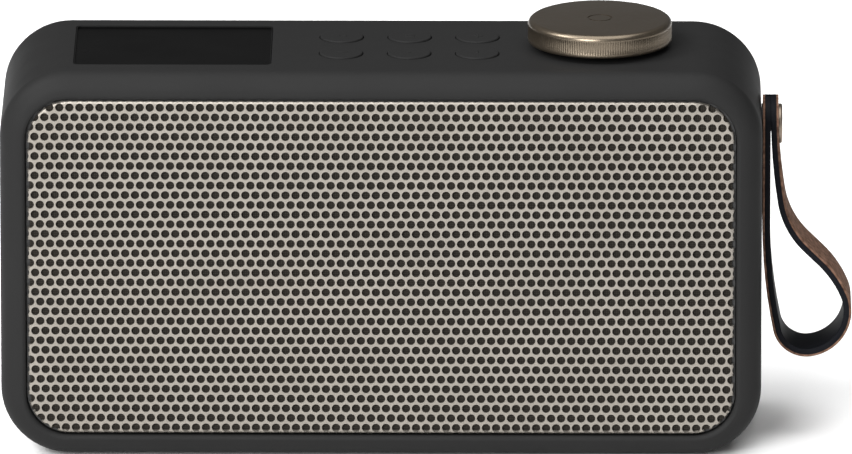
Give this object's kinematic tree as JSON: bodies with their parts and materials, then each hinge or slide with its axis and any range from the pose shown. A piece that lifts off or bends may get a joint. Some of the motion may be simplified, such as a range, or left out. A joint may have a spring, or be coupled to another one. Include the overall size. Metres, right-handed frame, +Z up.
{
  "type": "portable radio",
  "caption": "Portable table radio with a punched metal grille, a turning and pressing knob, top buttons, a smoked display window, a leather loop strap and a telescopic aerial.",
  "frame": {"origin": "middle of the underside of the rubber pad that the radio stands on", "axes": "+X to the right along the width, +Y to the back, +Z up"},
  "size_m": [0.2127, 0.0663, 0.1073],
  "materials": {
    "soft_touch": "fine matte soft-touch coating, near black",
    "button_rubber": "matte, same as the case",
    "grille_metal": "punched sheet, satin warm grey, painted",
    "grille_cloth": "fine black acoustic cloth",
    "inner_plastic": "black moulded plastic",
    "smoked_window": "smoked acrylic, glossy",
    "lcd": "dark display glass on a board",
    "knob_metal": "bronze anodised, fine brushed, knurled side",
    "leather": "black grain inside, brown suede outside, painted edges",
    "strap_metal": "champagne anodised",
    "steel": "plain steel",
    "chrome": "polished chrome plate",
    "aerial_plastic": "black, fine texture",
    "driver_steel": "black painted steel",
    "magnet": "dark ferrite",
    "cone_paper": "pressed paper pulp",
    "surround_rubber": "black rubber",
    "circuit_board": "green solder mask",
    "component_black": "black moulded",
    "shield": "tinned steel can",
    "cell_wrap": "shrink sleeve"
  },
  "bodies": {
    "case": {"housing": "soft_touch", "rear_cover": "soft_touch", "grille_plate": "grille_metal", "grille_cloth": "grille_cloth", "front_baffle": "inner_plastic", "bass_port": "inner_plastic", "battery_tray": "inner_plastic", "tact_switches": "inner_plastic", "display_window": "smoked_window", "display_module": "lcd", "strap_screw": "strap_metal", "rear_cover_screws": "steel", "baffle_screws": "steel", "board_screws": "steel", "strap_nut": "steel", "strap_washer": "steel", "usb_socket": "steel", "aerial_mount": "aerial_plastic", "left_driver_basket": "driver_steel", "right_driver_basket": "driver_steel", "left_driver_magnet": "magnet", "right_driver_magnet": "magnet", "left_driver_surround": "surround_rubber", "right_driver_surround": "surround_rubber", "base_pad": "surround_rubber", "keypad_board": "circuit_board", "main_board": "circuit_board", "board_components": "component_black", "aux_socket": "component_black", "encoder_body": "component_black", "radio_module": "shield", "battery_cells": "cell_wrap"},
    "encoder_plunger": {"encoder_plunger": "inner_plastic"},
    "knob": {"encoder_shaft": "steel", "knob": "knob_metal", "knob_insert": "inner_plastic"},
    "button_front_left": {"button_front_left": "button_rubber"},
    "button_front_middle": {"button_front_middle": "button_rubber"},
    "button_front_right": {"button_front_right": "button_rubber"},
    "button_back_left": {"button_back_left": "button_rubber"},
    "button_back_middle": {"button_back_middle": "button_rubber"},
    "button_back_right": {"button_back_right": "button_rubber"},
    "strap": {"leather_strap": "leather"},
    "aerial_base": {"aerial_swivel": "aerial_plastic", "aerial_pin": "steel", "aerial_nut": "steel"},
    "aerial_mast": {"aerial_knuckle": "chrome", "aerial_section_1": "chrome"},
    "aerial_tube_2": {"aerial_section_2": "chrome"},
    "aerial_tube_3": {"aerial_section_3": "chrome"},
    "aerial_tube_4": {"aerial_section_4": "chrome"},
    "aerial_tube_5": {"aerial_section_5": "chrome"},
    "left_cone": {"left_driver_cone": "cone_paper"},
    "right_cone": {"right_driver_cone": "cone_paper"}
  },
  "joints": [
    {"name": "knob_press", "type": "slide", "parent": "case", "child": "encoder_plunger", "axis": [0, 0, -1], "range_m": [0, 0.0005], "stiffness_N_per_m": 2000, "springref_m": -0.0005},
    {"name": "knob_turn", "type": "hinge", "parent": "encoder_plunger", "child": "knob", "pos_m": [0.0545, 0.0005, 0.1015], "axis": [0, 0, 1], "continuous": true},
    {"name": "press_front_left", "type": "slide", "parent": "case", "child": "button_front_left", "axis": [0, 0, -1], "range_m": [0, 0.0004], "stiffness_N_per_m": 1500, "springref_m": -0.0004},
    {"name": "press_front_middle", "type": "slide", "parent": "case", "child": "button_front_middle", "axis": [0, 0, -1], "range_m": [0, 0.0004], "stiffness_N_per_m": 1500, "springref_m": -0.0004},
    {"name": "press_front_right", "type": "slide", "parent": "case", "child": "button_front_right", "axis": [0, 0, -1], "range_m": [0, 0.0004], "stiffness_N_per_m": 1500, "springref_m": -0.0004},
    {"name": "press_back_left", "type": "slide", "parent": "case", "child": "button_back_left", "axis": [0, 0, -1], "range_m": [0, 0.0004], "stiffness_N_per_m": 1500, "springref_m": -0.0004},
    {"name": "press_back_middle", "type": "slide", "parent": "case", "child": "button_back_middle", "axis": [0, 0, -1], "range_m": [0, 0.0004], "stiffness_N_per_m": 1500, "springref_m": -0.0004},
    {"name": "press_back_right", "type": "slide", "parent": "case", "child": "button_back_right", "axis": [0, 0, -1], "range_m": [0, 0.0004], "stiffness_N_per_m": 1500, "springref_m": -0.0004},
    {"name": "strap_swing", "type": "hinge", "parent": "case", "child": "strap", "pos_m": [0.0963, 0.0005, 0.08], "axis": [1, 0, 0], "continuous": true},
    {"name": "aerial_swing", "type": "hinge", "parent": "case", "child": "aerial_base", "pos_m": [0.072, 0.0295, 0.084], "axis": [0, 1, 0], "range_deg": [0, 180]},
    {"name": "aerial_tilt", "type": "hinge", "parent": "aerial_base", "child": "aerial_mast", "pos_m": [0.072, 0.0349, 0.084], "axis": [0, 0, -1], "range_deg": [0, 90]},
    {"name": "aerial_pull_2", "type": "slide", "parent": "aerial_mast", "child": "aerial_tube_2", "axis": [-1, 0, 0], "range_m": [0, 0.096]},
    {"name": "aerial_pull_3", "type": "slide", "parent": "aerial_tube_2", "child": "aerial_tube_3", "axis": [-1, 0, 0], "range_m": [0, 0.096]},
    {"name": "aerial_pull_4", "type": "slide", "parent": "aerial_tube_3", "child": "aerial_tube_4", "axis": [-1, 0, 0], "range_m": [0, 0.096]},
    {"name": "aerial_pull_5", "type": "slide", "parent": "aerial_tube_4", "child": "aerial_tube_5", "axis": [-1, 0, 0], "range_m": [0, 0.096]},
    {"name": "left_cone_stroke", "type": "slide", "parent": "case", "child": "left_cone", "axis": [0, -1, 0], "range_m": [-0.001, 0.001], "stiffness_N_per_m": 1700},
    {"name": "right_cone_stroke", "type": "slide", "parent": "case", "child": "right_cone", "axis": [0, -1, 0], "range_m": [-0.001, 0.001], "stiffness_N_per_m": 1700}
  ]
}
